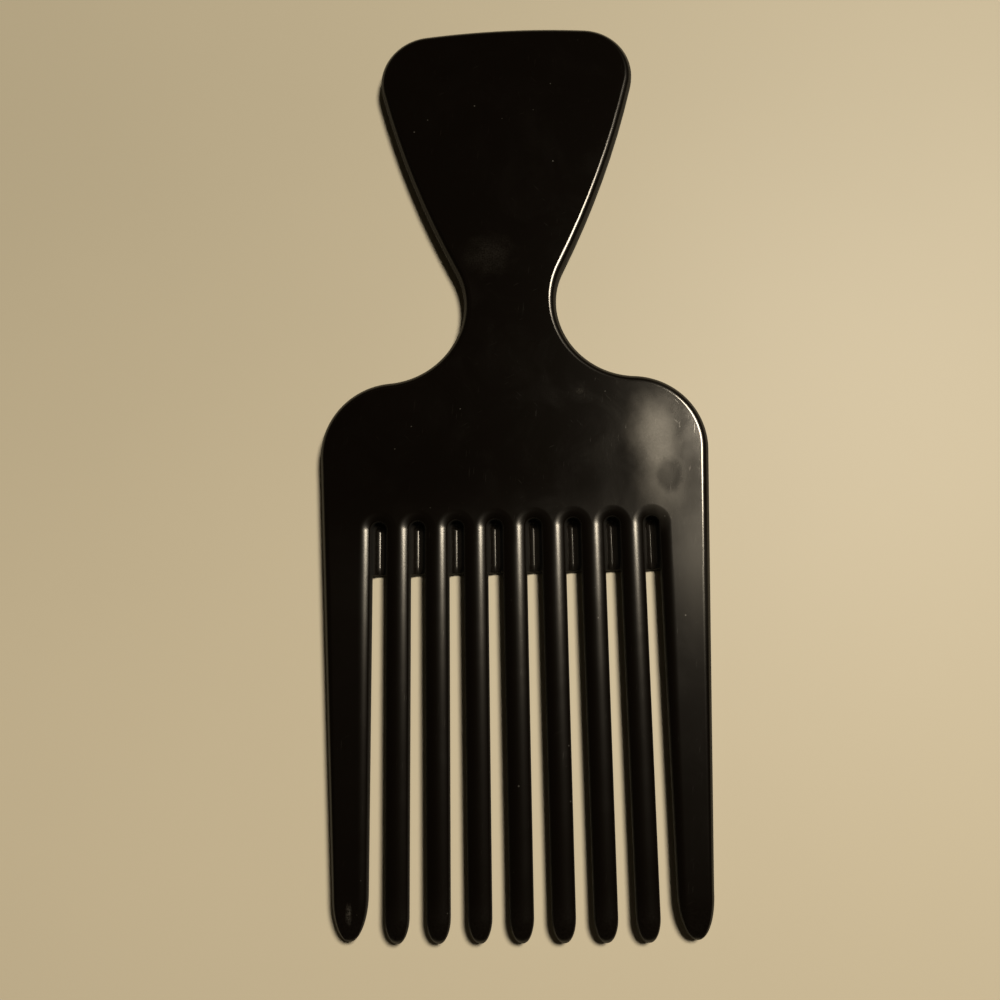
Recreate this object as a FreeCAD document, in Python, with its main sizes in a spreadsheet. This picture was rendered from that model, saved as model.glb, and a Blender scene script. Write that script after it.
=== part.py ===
import FreeCAD, Part
import math
import os
import Sketcher
from FreeCAD import Vector

# Driving sizes in millimetres. Levels are measured up from the tips of the inner teeth.
SIZES = {
    # whole pick
    "overall_length": 171.0,
    "plate_thickness": 4.2,
    "edge_round": 1.5,
    # grip, from its top to the narrowest part of the neck
    "grip_length": 58.0,
    "grip_width": 49.7,
    "grip_corner_radius": 10.0,
    "grip_crown_radius": 170.0,
    "grip_side_radius": 186.0,
    # neck, with its seams above and below the narrowest part
    "neck_width": 17.45,
    "neck_radius": 14.95,
    "neck_seam_rise": 7.0,
    "neck_seam_drop": 10.0,
    # head, from the narrowest part of the neck to the roots of the teeth
    "head_length": 50.8,
    "shoulder_radius": 13.7,
    # inner teeth, which take up the rest of the length
    "tooth_pitch": 7.0,
    "tooth_root_width": 4.35,
    "tooth_end_width": 4.06,
    "tooth_end_thickness": 3.6,
    "tooth_tip_length": 4.2,
    # guard teeth
    "guard_root_width": 8.725,
    "guard_end_width": 6.13,
    "guard_tip_length": 7.6,
    "guard_setback": 0.4,
    # webs between the roots
    "web_length": 9.4,
    "web_thickness": 0.95,
    "cut_overrun": 1.0,
}

# Plain ratios, with no length in them.
SHARES = {
    "round_limit_share": 0.47,
    "web_slope_share": 0.25,
}

# A tip closes from its base at 0 to its blunt end at the last share: its section shrinks as
# (1 - place^2)^fullness.
TIP_PLACE_SHARES = (0.15, 0.35, 0.55, 0.72, 0.85, 0.94, 0.985)
TOOTH_FULLNESS_SHARE = 0.5
GUARD_FULLNESS_SHARE = 0.5
MATCH_SHARE = 1e-6

INNER_TEETH = 7
GAPS = INNER_TEETH + 1
HALF_GAPS = GAPS // 2

doc = FreeCAD.newDocument("afro_pick")
sheet = doc.addObject("Spreadsheet::Sheet", "sizes")
for row, (alias, number) in enumerate(list(SIZES.items()) + list(SHARES.items()), 1):
    sheet.set("A%d" % row, alias)
    sheet.set("B%d" % row, str(number))
    sheet.setAlias("B%d" % row, alias)
doc.recompute()


def size(expression):
    """The number that an expression of sheet names gives."""
    result = sheet.evalExpression(expression)
    return float(getattr(result, "Value", result))


# Expressions that several pieces share.
HALF_LENGTH = "sizes.overall_length / 2"
NECK_LEVEL = "(sizes.overall_length - sizes.grip_length)"
ROOT_LEVEL = "(%s - sizes.head_length)" % NECK_LEVEL
GAP = "(sizes.tooth_pitch - sizes.tooth_root_width)"
ROUND = ("min(sizes.edge_round; sizes.round_limit_share * sizes.plate_thickness;"
         " sizes.round_limit_share * sizes.tooth_root_width;"
         " sizes.round_limit_share * sizes.guard_root_width)")
END_ROUND = ("min(%s * sizes.tooth_end_thickness / sizes.plate_thickness;"
             " sizes.round_limit_share * sizes.tooth_end_width;"
             " sizes.round_limit_share * sizes.guard_end_width;"
             " sizes.round_limit_share * sizes.tooth_end_thickness)" % ROUND)
ARCH_LEVEL = "(%s + sizes.web_length - %s / 2)" % (ROOT_LEVEL, GAP)
GUARD_BASE = "(sizes.guard_setback + sizes.guard_tip_length)"
# Inside and outside edges of the right guard tooth, at its root and at the base of its tip.
GUARD_IN_ROOT = "(%d * sizes.tooth_pitch - sizes.tooth_root_width / 2)" % HALF_GAPS
GUARD_IN_END = "(%d * sizes.tooth_pitch - sizes.tooth_end_width / 2)" % HALF_GAPS
GUARD_OUT_ROOT = "(%s + sizes.guard_root_width)" % GUARD_IN_ROOT
GUARD_OUT_END = "(%s + sizes.guard_end_width)" % GUARD_IN_END
EDGE_SLOPE = "((%s - %s) / (%s - %s))" % (GUARD_OUT_ROOT, GUARD_OUT_END, ROOT_LEVEL, GUARD_BASE)
same_place = MATCH_SHARE * size("sizes.overall_length")


def plane(body, role):
    return next(item for item in body.Origin.OriginFeatures if item.Role == role)


def new_body(name, label):
    body = doc.addObject("PartDesign::Body", name)
    body.Label = label
    return body


class Plan:
    """A sketch on one of a body's own planes, moved by expressions along its x, y and normal.

    Its rules are gathered first and added together, so that the outline keeps the places it starts from.
    """

    def __init__(self, body, name, role, offsets):
        self.sketch = body.newObject("Sketcher::SketchObject", name)
        self.sketch.AttachmentSupport = (plane(body, role), [""])
        self.sketch.MapMode = "FlatFace"
        for axis, expression in offsets.items():
            self.sketch.setExpression("AttachmentOffset.Base." + axis, expression)
        self.rules = []

    def line(self, start, end):
        return self.sketch.addGeometry(Part.LineSegment(Vector(*start), Vector(*end)), False)

    def arc(self, centre, start, end):
        """The arc that runs anticlockwise from start to end."""
        radius = math.hypot(start[0] - centre[0], start[1] - centre[1])
        first = math.atan2(start[1] - centre[1], start[0] - centre[0])
        last = math.atan2(end[1] - centre[1], end[0] - centre[0])
        if last < first:
            last += 2 * math.pi
        circle = Part.Circle(Vector(*centre), Vector(0, 0, 1), radius)
        return self.sketch.addGeometry(Part.ArcOfCircle(circle, first, last), False)

    def tie(self, *rule):
        self.rules.append((rule, None))

    def drive(self, expression, *rule):
        """A dimension that follows the sheet."""
        start = size(expression)
        if rule[0] == "Angle":
            start = math.radians(start)
        self.rules.append((rule + (start,), expression))

    def close(self):
        self.sketch.addConstraint([Sketcher.Constraint(*rule) for rule, _ in self.rules])
        for number, (_, expression) in enumerate(self.rules):
            if expression:
                self.sketch.setExpression("Constraints[%d]" % number, expression)
        self.sketch.Visibility = False
        return self.sketch


def towards(start, end, distance):
    run = math.hypot(end[0] - start[0], end[1] - start[1])
    return tuple(a + (b - a) * distance / run for a, b in zip(start, end))


ORIGIN, LEVEL, UPRIGHT = -1, -1, -2
START, END, CENTRE = 1, 2, 3


# The moulding without its teeth: half the outline, padded, mirrored and rounded.
blank = new_body("Blank", "moulding_blank")
outline = Plan(blank, "Outline", "XY_Plane", {"y": "-" + HALF_LENGTH})

pitch, gap = size("sizes.tooth_pitch"), size(GAP)
root, arch = size(ROOT_LEVEL), size(ARCH_LEVEL)
half_root = size("sizes.tooth_root_width / 2")
half_edge = size(GUARD_OUT_ROOT)
slope = size(EDGE_SLOPE)
lean = math.hypot(1, slope)
corner_radius, crown_radius = size("sizes.grip_corner_radius"), size("sizes.grip_crown_radius")
side_radius, neck_radius = size("sizes.grip_side_radius"), size("sizes.neck_radius")
shoulder_radius, top = size("sizes.shoulder_radius"), size("sizes.overall_length")

# Centres of the tangent arcs, as the start for the sketch's own constraints.
crown_at = (0, top - crown_radius)
corner_x = size("sizes.grip_width / 2") - corner_radius
corner_at = (corner_x, crown_at[1] + math.sqrt((crown_radius - corner_radius) ** 2 - corner_x ** 2))
neck_at = (size("sizes.neck_width / 2") + neck_radius, size(NECK_LEVEL))
apart = math.hypot(corner_at[0] - neck_at[0], corner_at[1] - neck_at[1])
reach_neck, reach_corner = side_radius + neck_radius, side_radius - corner_radius
along = (reach_neck ** 2 - reach_corner ** 2 + apart ** 2) / (2 * apart)
across = math.sqrt(reach_neck ** 2 - along ** 2)
unit = ((corner_at[0] - neck_at[0]) / apart, (corner_at[1] - neck_at[1]) / apart)
side_at = (neck_at[0] + along * unit[0] - across * unit[1],
           neck_at[1] + along * unit[1] + across * unit[0])
shift = half_edge - slope * root - shoulder_radius * lean - neck_at[0]
linear = shift * slope - neck_at[1]
constant = shift ** 2 + neck_at[1] ** 2 - (shoulder_radius + neck_radius) ** 2
shoulder_y = (-linear - math.sqrt(linear ** 2 - lean ** 2 * constant)) / lean ** 2
shoulder_at = (neck_at[0] + shift + slope * shoulder_y, shoulder_y)
edge_top = (shoulder_at[0] + shoulder_radius / lean, shoulder_at[1] - shoulder_radius * slope / lean)
waist_low = towards(neck_at, shoulder_at, neck_radius)
waist_high = towards(neck_at, side_at, neck_radius)
side_top = towards(side_at, corner_at, side_radius)
crown_end = towards(crown_at, corner_at, crown_radius)

first = last = outline.line((0, root), (half_root, root))
outline.tie("PointOnObject", first, START, UPRIGHT)
outline.tie("Horizontal", first)
outline.drive(ROOT_LEVEL, "DistanceY", ORIGIN, START, first, START)
outline.drive("sizes.tooth_root_width / 2", "DistanceX", first, START, first, END)
first_arch = None
for number in range(HALF_GAPS):
    left = number * pitch + half_root
    right = left + gap
    up = outline.line((left, root), (left, arch))
    over = outline.arc((left + gap / 2, arch), (right, arch), (left, arch))
    down = outline.line((right, arch), (right, root))
    outermost = number == HALF_GAPS - 1
    foot = outline.line((right, root), (half_edge if outermost else right + 2 * half_root, root))
    outline.tie("Coincident", last, END, up, START)
    outline.tie("Vertical", up)
    outline.tie("Tangent", up, END, over, END)
    outline.tie("Tangent", over, START, down, START)
    outline.tie("Vertical", down)
    outline.tie("Coincident", down, END, foot, START)
    outline.tie("Horizontal", foot)
    outline.drive(GAP + " / 2", "Radius", over)
    if first_arch is None:
        first_arch = over
        outline.drive(ARCH_LEVEL, "DistanceY", ORIGIN, START, over, CENTRE)
    else:
        outline.tie("Horizontal", first_arch, CENTRE, over, CENTRE)
    if outermost:
        outline.drive("sizes.guard_root_width", "DistanceX", foot, START, foot, END)
    else:
        outline.drive("sizes.tooth_root_width", "DistanceX", foot, START, foot, END)
    outline.tie("Horizontal", first, START, foot, START)
    last = foot

edge = outline.line((half_edge, root), edge_top)
shoulder = outline.arc(shoulder_at, edge_top, waist_low)
waist = outline.arc(neck_at, waist_high, waist_low)
side = outline.arc(side_at, waist_high, side_top)
corner = outline.arc(corner_at, side_top, crown_end)
crown = outline.arc(crown_at, crown_end, (0, top))
middle = outline.line((0, top), (0, root))
outline.tie("Coincident", last, END, edge, START)
outline.drive("90 deg - atan(%s)" % EDGE_SLOPE, "Angle", edge)
outline.tie("Tangent", edge, END, shoulder, START)
outline.tie("Tangent", shoulder, END, waist, END)
outline.tie("Tangent", waist, START, side, START)
outline.tie("Tangent", side, END, corner, START)
outline.tie("Tangent", corner, END, crown, START)
outline.tie("Coincident", crown, END, middle, START)
outline.tie("Coincident", middle, END, first, START)
outline.tie("PointOnObject", crown, END, UPRIGHT)
outline.tie("PointOnObject", crown, CENTRE, UPRIGHT)
for arc, name in ((shoulder, "shoulder_radius"), (waist, "neck_radius"), (side, "grip_side_radius"),
                  (corner, "grip_corner_radius"), (crown, "grip_crown_radius")):
    outline.drive("sizes." + name, "Radius", arc)
outline.drive("sizes.neck_width / 2 + sizes.neck_radius", "DistanceX", ORIGIN, START, waist, CENTRE)
outline.drive(NECK_LEVEL, "DistanceY", ORIGIN, START, waist, CENTRE)
outline.drive("sizes.grip_width / 2 - sizes.grip_corner_radius", "DistanceX", ORIGIN, START, corner, CENTRE)
outline.drive("sizes.overall_length", "DistanceY", ORIGIN, START, crown, END)

slab = blank.newObject("PartDesign::Pad", "Slab")
slab.Profile = outline.close()
slab.setExpression("Length", "sizes.plate_thickness")
both = blank.newObject("PartDesign::Mirrored", "BothHalves")
both.Originals = [slab]
both.MirrorPlane = (plane(blank, "YZ_Plane"), [""])
blank.Tip = both
doc.recompute()

# Every edge of the two faces is rounded but those where the teeth carry on.
thickness, root_line = size("sizes.plate_thickness"), root - size(HALF_LENGTH)
rounded = []
for number, line in enumerate(both.Shape.Edges, 1):
    corners = [vertex.Point for vertex in line.Vertexes]
    on_face = any(all(abs(point.z - face) < same_place for point in corners) for face in (0, thickness))
    straight = line.Curve.TypeId == "Part::GeomLine"
    on_root = straight and all(abs(point.y - root_line) < same_place for point in corners)
    if on_face and not on_root:
        rounded.append("Edge%d" % number)
rounding = blank.newObject("PartDesign::Fillet", "EdgeRound")
rounding.Base = (both, rounded)
rounding.setExpression("Radius", ROUND)
blank.Tip = rounding
doc.recompute()


def section_of_blank(label, low, high):
    """What the blank holds between two levels."""
    zone = doc.addObject("Part::Box", label + "_zone")
    zone.setExpression("Length", "sizes.overall_length")
    zone.setExpression("Width", "%s - (%s)" % (high, low))
    zone.setExpression("Height", "sizes.plate_thickness + 2 * sizes.cut_overrun")
    zone.setExpression("Placement.Base.x", "-" + HALF_LENGTH)
    zone.setExpression("Placement.Base.y", "%s - %s" % (low, HALF_LENGTH))
    zone.setExpression("Placement.Base.z", "-sizes.cut_overrun")
    section = doc.addObject("Part::Common", label)
    section.Base = blank
    section.Tool = zone
    section.Label = label
    return section


BELOW_ROOT = "%s - sizes.cut_overrun" % ROOT_LEVEL
LOWER_SEAM = "%s - sizes.neck_seam_drop" % NECK_LEVEL
UPPER_SEAM = "%s + sizes.neck_seam_rise" % NECK_LEVEL
ABOVE_TOP = "sizes.overall_length + sizes.cut_overrun"
head_plate = section_of_blank("head_plate", BELOW_ROOT, LOWER_SEAM)
neck = section_of_blank("neck", LOWER_SEAM, UPPER_SEAM)
grip_paddle = section_of_blank("grip_paddle", UPPER_SEAM, ABOVE_TOP)


def tooth_section(body, name, level, middle_x, width, depth, radius):
    """A round-cornered section across a tooth, centred on the moulding's middle plane."""
    plan = Plan(body, name, "XZ_Plane", {
        "x": middle_x, "y": "sizes.plate_thickness / 2", "z": "%s - (%s)" % (HALF_LENGTH, level)})
    x, y, r = size(width) / 2, size(depth) / 2, size(radius)
    above = plan.line((r - x, y), (x - r, y))
    right = plan.line((x, y - r), (x, r - y))
    below = plan.line((x - r, -y), (r - x, -y))
    left = plan.line((-x, r - y), (-x, y - r))
    corners = [plan.arc((x - r, y - r), (x, y - r), (x - r, y)),
               plan.arc((x - r, r - y), (x - r, -y), (x, r - y)),
               plan.arc((r - x, r - y), (-x, r - y), (r - x, -y)),
               plan.arc((r - x, y - r), (r - x, y), (-x, y - r))]
    lines = [above, right, below, left]
    for number, corner_arc in enumerate(corners):
        plan.tie("Tangent", lines[number], END, corner_arc, END)
        plan.tie("Tangent", corner_arc, START, lines[(number + 1) % len(lines)], START)
        if number:
            plan.tie("Equal", corners[0], corner_arc)
    for flat, upright in ((above, left), (below, right)):
        plan.tie("Horizontal", flat)
        plan.tie("Vertical", upright)
    plan.tie("Symmetric", corners[0], CENTRE, corners[2], CENTRE, ORIGIN, START)
    plan.drive(radius, "Radius", corners[0])
    plan.drive(width, "DistanceX", left, START, right, START)
    plan.drive(depth, "DistanceY", below, START, above, START)
    return plan.close()


def tooth(name, label, low, root_place, end_place, tip_length, fullness):
    """A tapering bar with a closing tip. A place is the middle and the width of a section."""
    body = new_body(name, label)
    base_level = "%s + %s" % (low, tip_length)
    at_root = tooth_section(body, name + "Root", ROOT_LEVEL, *root_place,
                            "sizes.plate_thickness", ROUND)
    at_base = tooth_section(body, name + "Base", base_level, *end_place,
                            "sizes.tooth_end_thickness", END_ROUND)
    bar = body.newObject("PartDesign::AdditiveLoft", name + "Bar")
    bar.Profile = at_root
    bar.Sections = [at_base]
    bar.Ruled = True
    closing = []
    for number, place in enumerate(TIP_PLACE_SHARES, 1):
        scale = (1 - place ** 2) ** fullness
        left_over = 1 - place / TIP_PLACE_SHARES[-1]
        closing.append(tooth_section(
            body, "%sTip%d" % (name, number), "%s + %r * %s" % (low, left_over, tip_length),
            end_place[0], "%r * %s" % (scale, end_place[1]),
            "%r * sizes.tooth_end_thickness" % scale, "%r * %s" % (scale, END_ROUND)))
    tip = body.newObject("PartDesign::AdditiveLoft", name + "Tip")
    tip.Profile = at_base
    tip.Sections = closing
    tip.Ruled = False
    body.Tip = tip
    return body


# One inner tooth on the middle line, and clones of it along the pitch.
middle_tooth = tooth("InnerTooth", "tooth_%d" % (INNER_TEETH // 2 + 1), "0", ("0", "sizes.tooth_root_width"),
                     ("0", "sizes.tooth_end_width"), "sizes.tooth_tip_length", TOOTH_FULLNESS_SHARE)
teeth = []
for number in range(1, INNER_TEETH + 1):
    steps = number - (INNER_TEETH // 2 + 1)
    if steps == 0:
        teeth.append(middle_tooth)
        continue
    clone = new_body("Tooth%d" % number, "tooth_%d" % number)
    clone.BaseFeature = middle_tooth
    clone.setExpression("Placement.Base.x", "%d * sizes.tooth_pitch" % steps)
    teeth.append(clone)

# The guard teeth: straight inside edges, outside edges in line with the head's sides.
guard_root = ("(%s + %s) / 2" % (GUARD_IN_ROOT, GUARD_OUT_ROOT), "sizes.guard_root_width")
guard_end = ("(%s + %s) / 2" % (GUARD_IN_END, GUARD_OUT_END), "sizes.guard_end_width")
guard_right = tooth("GuardTooth", "guard_tooth_right", "sizes.guard_setback", guard_root, guard_end,
                    "sizes.guard_tip_length", GUARD_FULLNESS_SHARE)
guard_left = doc.addObject("Part::Mirroring", "GuardToothLeft")
guard_left.Label = "guard_tooth_left"
guard_left.Source = guard_right
guard_left.Base = Vector(0, 0, 0)
guard_left.Normal = Vector(1, 0, 0)


def root_web(number):
    """A thin floor level with the back and dished to a middle crease, which closes the top of one gap."""
    body = new_body("WebBlank%d" % number, "web_blank_%d" % number)
    middle_x = "(%d - %d / 2) * sizes.tooth_pitch" % (number, GAPS + 1)
    plan = Plan(body, "WebProfile%d" % number, "XZ_Plane", {
        "x": middle_x, "z": "%s - %s" % (HALF_LENGTH, ROOT_LEVEL)})
    reach = "(%s / 2 + %s / 2)" % (GAP, ROUND)
    crease = "sizes.web_thickness"
    rise = "(%s + sizes.web_slope_share * %s)" % (crease, reach)
    x, low, high = size(reach), size(crease), size(rise)
    points = [(x, high), (0, low), (-x, high), (-x, 0), (x, 0)]
    lines = [plan.line(start, points[(place + 1) % len(points)]) for place, start in enumerate(points)]
    for place, item in enumerate(lines):
        plan.tie("Coincident", item, END, lines[(place + 1) % len(lines)], START)
    plan.tie("PointOnObject", lines[1], START, UPRIGHT)
    plan.tie("Symmetric", lines[0], START, lines[2], START, UPRIGHT)
    for upright in (lines[2], lines[4]):
        plan.tie("Vertical", upright)
    for corner in (lines[3], lines[4]):
        plan.tie("PointOnObject", corner, START, LEVEL)
    plan.drive(reach, "DistanceX", ORIGIN, START, lines[0], START)
    plan.drive(rise, "DistanceY", ORIGIN, START, lines[0], START)
    plan.drive(crease, "DistanceY", ORIGIN, START, lines[1], START)
    floor = body.newObject("PartDesign::Pad", "WebFloor%d" % number)
    floor.Profile = plan.close()
    floor.setExpression("Length", "sizes.web_length + sizes.edge_round")
    floor.Reversed = True
    web = doc.addObject("Part::Cut", "RootWeb%d" % number)
    web.Base = body
    web.Tool = head_plate
    web.Label = "root_web_%d" % number
    return web


webs = [root_web(number) for number in range(1, GAPS + 1)]
doc.recompute()

# Nothing is written unless every object and every solid is sound.
parts = [grip_paddle, neck, head_plate, guard_left, guard_right] + teeth + webs
for item in doc.Objects:
    if "Invalid" in item.State or "Error" in item.State:
        raise RuntimeError("%s did not build: %s" % (item.Label, item.State))
for sketch in doc.findObjects("Sketcher::SketchObject"):
    if not sketch.FullyConstrained:
        raise RuntimeError("%s is not fully constrained" % sketch.Name)
for item in parts:
    if item.Shape.isNull() or not item.Shape.isValid() or len(item.Shape.Solids) != 1:
        raise RuntimeError("%s is not one sound solid" % item.Label)

os.makedirs("parts", exist_ok=True)
for item in parts:
    item.Shape.Solids[0].exportStep("parts/%s.step" % item.Label)
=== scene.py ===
"""A one-piece moulded afro pick: its plate, teeth and webs, their plastic, and a plain stage."""

import math

import bmesh
import bpy
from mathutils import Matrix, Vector


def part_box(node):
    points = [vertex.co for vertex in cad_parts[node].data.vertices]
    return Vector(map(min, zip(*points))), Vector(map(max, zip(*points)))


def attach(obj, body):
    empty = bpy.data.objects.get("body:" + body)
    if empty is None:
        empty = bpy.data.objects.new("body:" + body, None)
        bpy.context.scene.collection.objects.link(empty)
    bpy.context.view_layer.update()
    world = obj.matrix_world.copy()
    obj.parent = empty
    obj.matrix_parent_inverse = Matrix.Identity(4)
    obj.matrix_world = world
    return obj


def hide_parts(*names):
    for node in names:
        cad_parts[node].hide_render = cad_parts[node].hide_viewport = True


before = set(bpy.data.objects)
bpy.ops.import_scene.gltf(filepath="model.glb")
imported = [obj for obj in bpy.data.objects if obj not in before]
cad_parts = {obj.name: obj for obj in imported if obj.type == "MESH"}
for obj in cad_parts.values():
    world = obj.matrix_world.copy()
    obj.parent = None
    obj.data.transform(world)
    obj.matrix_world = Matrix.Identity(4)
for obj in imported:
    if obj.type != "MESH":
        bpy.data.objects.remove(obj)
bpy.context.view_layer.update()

bl_info = {
    "name": "Afro pick",
    "version": (1, 0, 0),
    "blender": (4, 5, 0),
    "location": "3D View > Sidebar > Pick",
    "description": "Builds a moulded afro pick and the stage that it lies on",
    "category": "Add Mesh",
}

BODY = "root"
INNER_TEETH = ["tooth_%d" % number for number in range(1, 8)]
WEBS = ["root_web_%d" % number for number in range(1, 9)]
PLATE_NODES = ("grip_paddle", "neck", "head_plate")
MIDDLE_TOOTH = INNER_TEETH[len(INNER_TEETH) // 2]

# Corners of a node's box, and the axes.
LOW, HIGH = 0, 1
X, Y, Z = 0, 1, 2


def span(node, axis):
    """How far a node of the frame reaches along an axis."""
    low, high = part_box(node)
    return high[axis] - low[axis]


TOP_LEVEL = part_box("grip_paddle")[HIGH][Y]
ROOT_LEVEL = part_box(MIDDLE_TOOTH)[HIGH][Y]
TIP_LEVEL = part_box(MIDDLE_TOOTH)[LOW][Y]
GUARD_TIP_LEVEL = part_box("guard_tooth_right")[LOW][Y]
GUARD_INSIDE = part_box("guard_tooth_right")[LOW][X]
THICKNESS = span("grip_paddle", Z)
MIDDLE_HEIGHT = THICKNESS / 2
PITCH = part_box("tooth_5")[LOW][X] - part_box("tooth_4")[LOW][X]

# How finely curves are divided, and how a web's divisions crowd towards its crease.
ROUND_STEPS = 10
CROWN_STEPS = 8
ARC_STEP = math.radians(3)
LEAST_ARC_STEPS = 8
ARCH_STEPS = 24
LEG_STEPS = 6
TOOTH_RINGS = 72
WEB_STEPS = 14
WEB_END_STEPS = 8
WEB_CROWDING = 1.5

# Share of a tooth's dome that is made, and the least room that is left for a section at the tip.
CROWN_REACH = 0.995
LEAST_ROOM = 0.00002

# Small distances, and the angle above which an edge is sharp.
MERGE_DISTANCE = 1e-7
FLAT_MARGIN = 0.00015
NEAREST_SIGHT = 0.001
SHARP_ANGLE = math.radians(50)

# Sockets of the Mix node that hold colours.
FIRST_COLOUR, SECOND_COLOUR, MIXED_COLOUR = 6, 7, 2

# Where a mask starts and where it is full: the upright part of a face's normal, and a share of the thickness.
SIDE_UPRIGHT = (0.80, 0.45)
EDGE_UPRIGHT = (0.999, 0.985)
HOLLOW_DEPTH = (0.75, 0.45)

# Height of the view at which the backdrop starts to dim and is dimmest, 1 being straight up.
BACKDROP_HEIGHT = (0.03, 0.30)

# Noise at which the grain starts and is full, and how the grain thins and thickens the haze.
GRAIN_NOISE = (0.35, 0.7)
GRAIN_IN_HAZE = (0.62, 1.12)

# Each lay of hairline scratches: its turn, and the noise above which a line shows.
HAIRLINES = ((0.1, 0.68), (1.1, 0.71), (2.4, 0.71))

# Marks on the face: place, reach, softness, fray and strength.
# The hazy film on the right shoulder: rougher plastic, and a painted sheen where its paleness enters the
# colour.
HAZE_AND_SHEEN = (
    ((0.0256, 0.0022), (0.0066, 0.0095), 1.0, 0.5, 0.54),
    ((0.0270, -0.0068), (0.0066, 0.0105), 1.0, 0.4, 0.44),
    ((0.0315, -0.0230), (0.0045, 0.0180), 1.0, 0.3, 0.12),
)
DROP = (((0.0281, -0.0066), (0.0029, 0.0038), 0.5, 0.35, 1.0),)
SCUFFS = (
    ((0.0126, 0.0096), (0.0010, 0.0007), 0.9, 0.8, 0.16),
    ((-0.0036, 0.0370), (0.0062, 0.0050), 1.0, 1.2, 0.07),
    ((-0.0290, -0.0805), (0.0007, 0.0022), 0.9, 0.8, 0.30),
)


# Properties

def length(name, description, default):
    return bpy.props.FloatProperty(name=name, description=description, default=default, unit="LENGTH",
                                   precision=5)


def share(name, description, default):
    return bpy.props.FloatProperty(name=name, description=description, default=default, subtype="FACTOR",
                                   min=0, max=1)


def angle(name, description, degrees):
    return bpy.props.FloatProperty(name=name, description=description, default=math.radians(degrees),
                                   unit="ROTATION")


def colour(name, description, default):
    return bpy.props.FloatVectorProperty(name=name, description=description, default=default, size=3,
                                         subtype="COLOR", min=0, max=1)


def position(name, description, default):
    return bpy.props.FloatVectorProperty(name=name, description=description, default=default, size=3,
                                         subtype="TRANSLATION", precision=5)


def power(name, description, default):
    return bpy.props.FloatProperty(name=name, description=description, default=default, unit="POWER")


class PickSizes(bpy.types.PropertyGroup):
    """Sizes of the moulding that the frame doesn't give by itself."""
    thickness: length("Thickness", "Across the plate's two faces", THICKNESS)
    skin_inset: length("Skin inset", "How far the skin lies inside the solids' outline", 0.00002)
    edge_round: length("Edge round", "Radius of the outline's rounded edges", 0.0015)
    slot_round: length("Slot round", "Radius of the edges of the gaps and the teeth", 0.0007)
    tooth_crown: length("Tooth crown", "Radius of the teeth's domed fronts", 0.0045)
    parting_ridge: length("Parting ridge", "Height of the mould line round the edge", 0.00003)
    grip_length: length("Grip length", "From the top to the narrowest part of the neck", 0.058)
    grip_width: length("Grip width", "Across the grip's corners", span("grip_paddle", X))
    grip_corner: length("Grip corner", "Radius of the grip's top corners", 0.010)
    grip_crown: length("Grip crown", "Radius of the grip's top edge", 0.170)
    grip_side: length("Grip side", "Radius of the grip's long sides", 0.186)
    neck_width: length("Neck width", "Across the narrowest part", 0.01745)
    neck_radius: length("Neck radius", "Radius of the waist", 0.01495)
    shoulder: length("Shoulder", "Radius of the head's shoulders", 0.0137)
    tooth_width: length("Tooth width", "Inner tooth at its root", span(MIDDLE_TOOTH, X))
    tooth_end_width: length("Tooth end width", "Inner tooth where its tip begins", 0.00406)
    end_thickness: length("End thickness", "Every tooth where its tip begins", 0.0036)
    tooth_tip: length("Tooth tip", "Length of an inner tooth's closing tip", 0.0042)
    guard_width: length("Guard width", "Guard tooth at its root", span("guard_tooth_right", X))
    guard_end_width: length("Guard end width", "Guard tooth where its tip begins", 0.00613)
    guard_tip: length("Guard tip", "Length of a guard tooth's closing tip", 0.0076)
    web_length: length("Web length", "From the roots to the top of a gap", 0.0094)
    web_crease: length("Web crease", "Thickness of a web at its middle crease", 0.00095)
    web_end_round: length("Web end round", "Length of the rounded end of a web", 0.00025)
    web_sunk: length("Web sunk", "How far a web's floor runs on into the plate", 0.00015)
    web_foot: length("Web foot", "How far a web's back spreads under the rounded edges", 0.0007)
    web_tilt: angle("Web tilt", "Slope of a web's floor where it reaches the crease", 12)
    tooth_fullness: share("Tooth fullness", "How bluntly an inner tooth's tip closes", 0.5)
    guard_fullness: share("Guard fullness", "How bluntly a guard tooth's tip closes", 0.5)


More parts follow.
